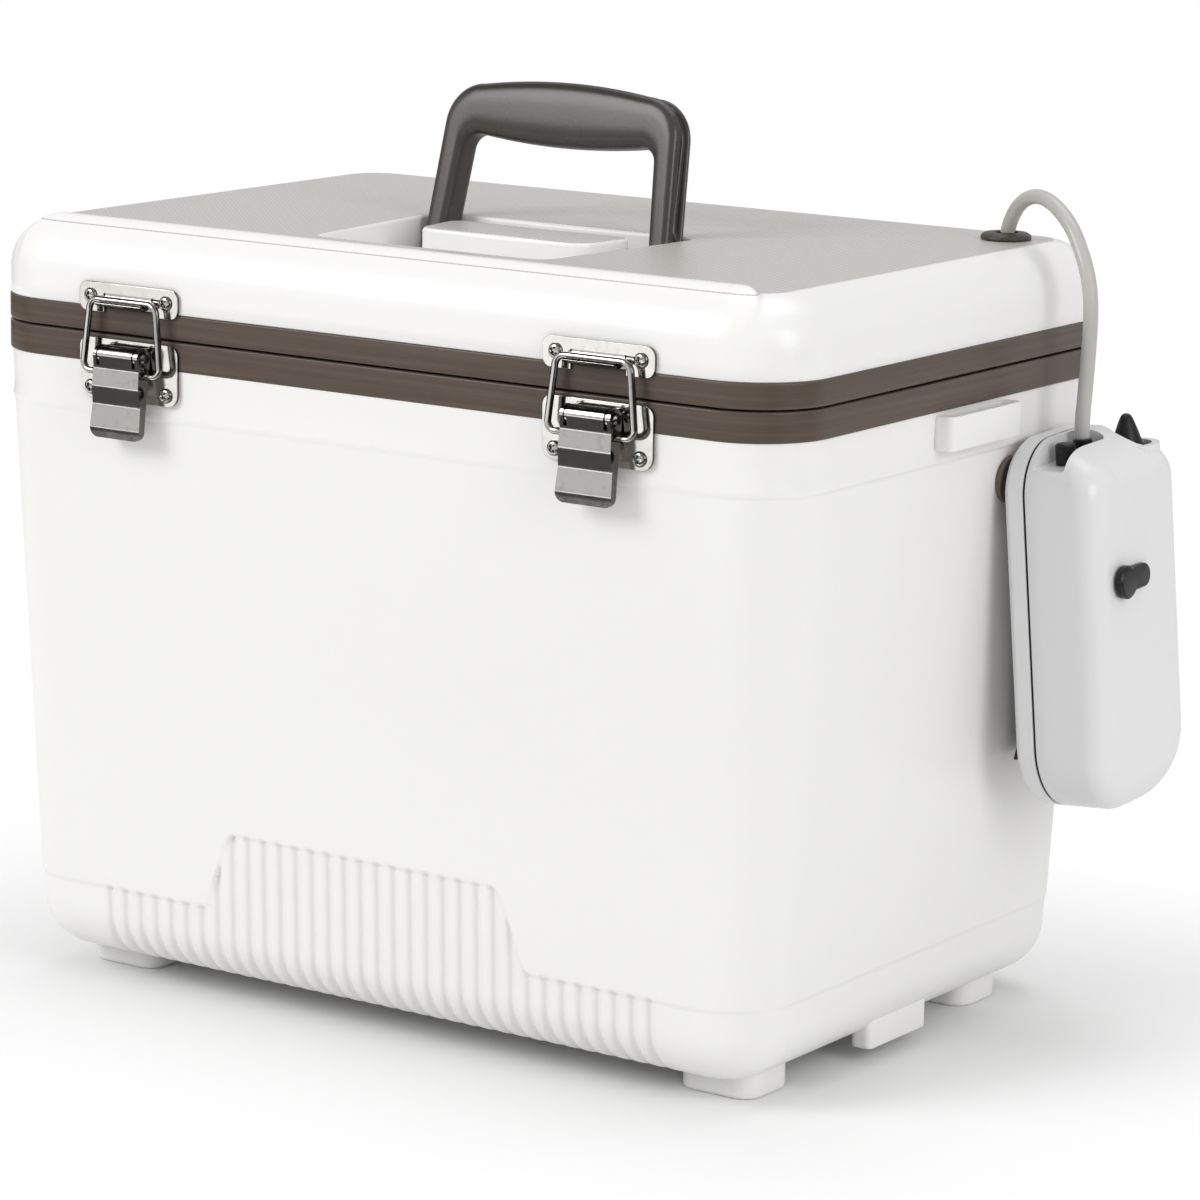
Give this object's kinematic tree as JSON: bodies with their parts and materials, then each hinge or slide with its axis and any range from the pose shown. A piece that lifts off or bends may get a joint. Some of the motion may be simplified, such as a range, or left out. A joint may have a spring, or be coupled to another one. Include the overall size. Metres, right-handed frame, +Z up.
{
  "type": "aerated bait bucket",
  "caption": "Insulated hard chest for live bait, with draw latches, a folding top handle and a side air pump whose tube enters through the lid.",
  "frame": {"origin": "on the floor under the centre of the chest's trim, at the plane of its feet", "axes": "+X to the right along the front, towards the air pump; -Y out of the latched front; +Z up"},
  "size_m": [0.4486, 0.2781, 0.374],
  "materials": {
    "white_shell": "semi-gloss white moulded plastic",
    "liner_white": "smooth white moulded plastic",
    "foam": "matt cream foam insulation",
    "brown_trim": "semi-matt brown moulded plastic",
    "brown_fitting": "semi-matt brown moulded plastic",
    "screw_steel": "bright steel",
    "latch_steel": "polished stainless steel",
    "handle_dark": "semi-gloss dark bronze-grey plastic",
    "gasket_rubber": "soft black rubber",
    "grommet_rubber": "matt dark brown rubber",
    "pump_white": "glossy cool white plastic",
    "black_rubber": "matt black rubber",
    "black_plastic": "semi-matt black plastic",
    "motor_steel": "plain steel",
    "chamber_plastic": "natural grey plastic",
    "cell_jacket": "plain coloured film jacket",
    "contact_brass": "bright brass",
    "clear_tube": "translucent grey-white flexible vinyl",
    "air_stone": "rough porous blue-grey stone"
  },
  "bodies": {
    "chest": {"tub_shell": "white_shell", "tub_liner": "liner_white", "tub_foam": "foam", "tub_trim": "brown_trim", "hinge_leaves_tub": "brown_fitting", "hinge_screws_tub": "screw_steel", "latch_base_left": "latch_steel", "latch_base_right": "latch_steel", "latch_base_screws": "screw_steel", "latch_rivets": "screw_steel", "hinge_pins": "screw_steel", "pump_back_shell": "pump_white", "pump_seal": "black_rubber", "pump_front_shell": "pump_white", "pump_screws": "screw_steel", "pump_clip": "black_plastic", "pump_studs": "brown_fitting", "pump_outlets": "black_plastic", "pump_inlet": "black_plastic", "switch_plate": "black_plastic", "pump_motor": "motor_steel", "pump_diaphragm": "black_rubber", "pump_air_chamber": "chamber_plastic", "pump_cells": "cell_jacket", "pump_contacts": "contact_brass", "air_tube_outer": "clear_tube", "air_stone": "air_stone"},
    "lid": {"lid_shell": "white_shell", "lid_liner": "liner_white", "lid_foam": "foam", "lid_trim": "brown_trim", "lid_gasket": "gasket_rubber", "lid_grommet": "grommet_rubber", "latch_keeper_left": "latch_steel", "latch_keeper_right": "latch_steel", "latch_keeper_screws": "screw_steel", "hinge_leaves_lid": "brown_fitting", "hinge_screws_lid": "screw_steel", "handle_pins": "screw_steel", "air_tube_inner": "clear_tube"},
    "handle": {"handle": "handle_dark"},
    "latch_lever_left": {"latch_lever_left": "latch_steel"},
    "latch_lever_right": {"latch_lever_right": "latch_steel"},
    "latch_bail_left": {"latch_bail_left": "latch_steel"},
    "latch_bail_right": {"latch_bail_right": "latch_steel"},
    "outlet_cap": {"outlet_cap": "black_rubber"},
    "inlet_plug": {"inlet_plug": "black_plastic"},
    "switch_slider": {"switch_slider": "black_plastic"},
    "pump_crank": {"pump_crank": "motor_steel"}
  },
  "joints": [
    {"name": "lid_hinge", "type": "hinge", "parent": "chest", "child": "lid", "pos_m": [0, 0.135, 0.274], "axis": [-1, 0, 0], "range_deg": [0, 100], "deforming": ["air_tube_outer", "air_tube_inner"]},
    {"name": "handle_hinge", "type": "hinge", "parent": "lid", "child": "handle", "pos_m": [0, 0, 0.306], "axis": [1, 0, 0], "range_deg": [0, 102]},
    {"name": "latch_lever_left", "type": "hinge", "parent": "chest", "child": "latch_lever_left", "pos_m": [-0.114, -0.1346, 0.2665], "axis": [-1, 0, 0], "range_deg": [0, 130]},
    {"name": "latch_bail_left", "type": "hinge", "parent": "latch_lever_left", "child": "latch_bail_left", "pos_m": [-0.114, -0.1346, 0.2595], "axis": [-1, 0, 0], "range_deg": [-117, 0]},
    {"name": "latch_lever_right", "type": "hinge", "parent": "chest", "child": "latch_lever_right", "pos_m": [0.114, -0.1346, 0.2665], "axis": [-1, 0, 0], "range_deg": [0, 130]},
    {"name": "latch_bail_right", "type": "hinge", "parent": "latch_lever_right", "child": "latch_bail_right", "pos_m": [0.114, -0.1346, 0.2595], "axis": [-1, 0, 0], "range_deg": [-117, 0]},
    {"name": "outlet_cap_pull", "type": "slide", "parent": "chest", "child": "outlet_cap", "axis": [-0.0697, -0.0349, 0.997], "range_m": [0, 0.012]},
    {"name": "inlet_plug_pull", "type": "slide", "parent": "chest", "child": "inlet_plug", "axis": [-0.0697, -0.0349, 0.997], "range_m": [0, 0.012]},
    {"name": "switch_slide", "type": "slide", "parent": "chest", "child": "switch_slider", "axis": [-0.0024, 0.9994, 0.0348], "range_m": [0, 0.012]},
    {"name": "crank_spin", "type": "hinge", "parent": "chest", "child": "pump_crank", "pos_m": [0.22158, 0.05381, 0.19106], "axis": [-0.0697, -0.0349, 0.997], "continuous": true, "deforming": ["pump_diaphragm"]}
  ],
  "couplings": [
    {"joint": "latch_bail_left", "follows": "latch_lever_left", "ratio": -0.9},
    {"joint": "latch_bail_right", "follows": "latch_lever_right", "ratio": -0.9}
  ]
}
